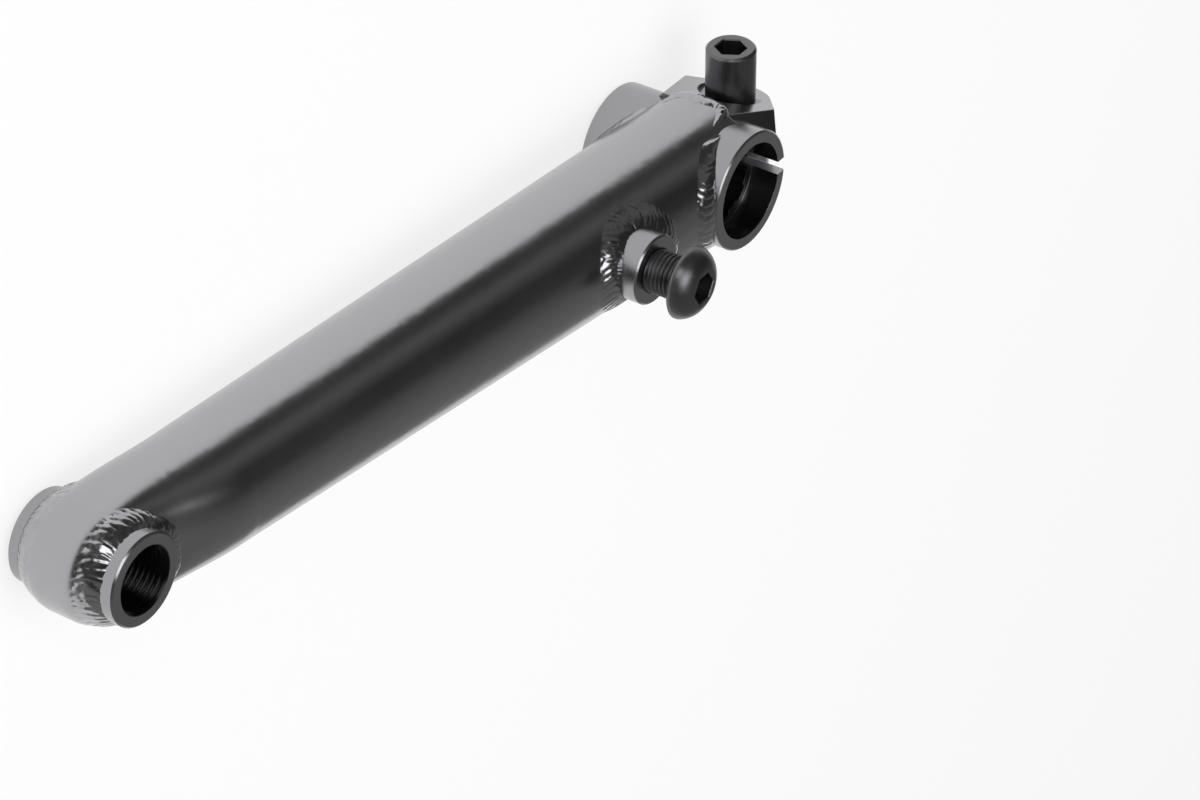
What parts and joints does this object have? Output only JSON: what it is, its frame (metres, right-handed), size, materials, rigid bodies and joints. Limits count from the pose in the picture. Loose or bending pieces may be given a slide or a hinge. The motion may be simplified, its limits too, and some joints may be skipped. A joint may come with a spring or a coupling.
{
  "type": "bicycle crank arm",
  "caption": "Tubular steel bicycle crank arm: slit spindle boss with splines and a pinch bolt, sprocket bolt on a welded boss, and a bored pedal boss.",
  "frame": {"origin": "on the axis of the splined spindle bore, 16.4 mm below the boss's inboard face", "axes": "+X away from the pedal, in line with the two bosses; +Y towards the head of the pinch bolt; +Z along the spindle bore, inboard"},
  "size_m": [0.213, 0.0383, 0.0581],
  "materials": {
    "plated_tube": "dark glossy plating over polished steel",
    "machined_boss": "turned steel, dark satin plating",
    "plated_lug": "milled steel, dark plating",
    "black_bolt": "black oxide",
    "weld": "rippled weld bead, dark glossy plating"
  },
  "bodies": {
    "root": {"arm_tube": "plated_tube", "spindle_boss": "machined_boss", "pedal_boss": "machined_boss", "pinch_lug_upper": "plated_lug", "pinch_lug_lower": "plated_lug", "pinch_bolt": "black_bolt", "sprocket_boss": "machined_boss", "sprocket_bolt": "black_bolt", "pedal_weld_outer": "weld", "pedal_weld_inner": "weld", "sprocket_weld": "weld", "spindle_weld": "weld"}
  },
  "joints": []
}
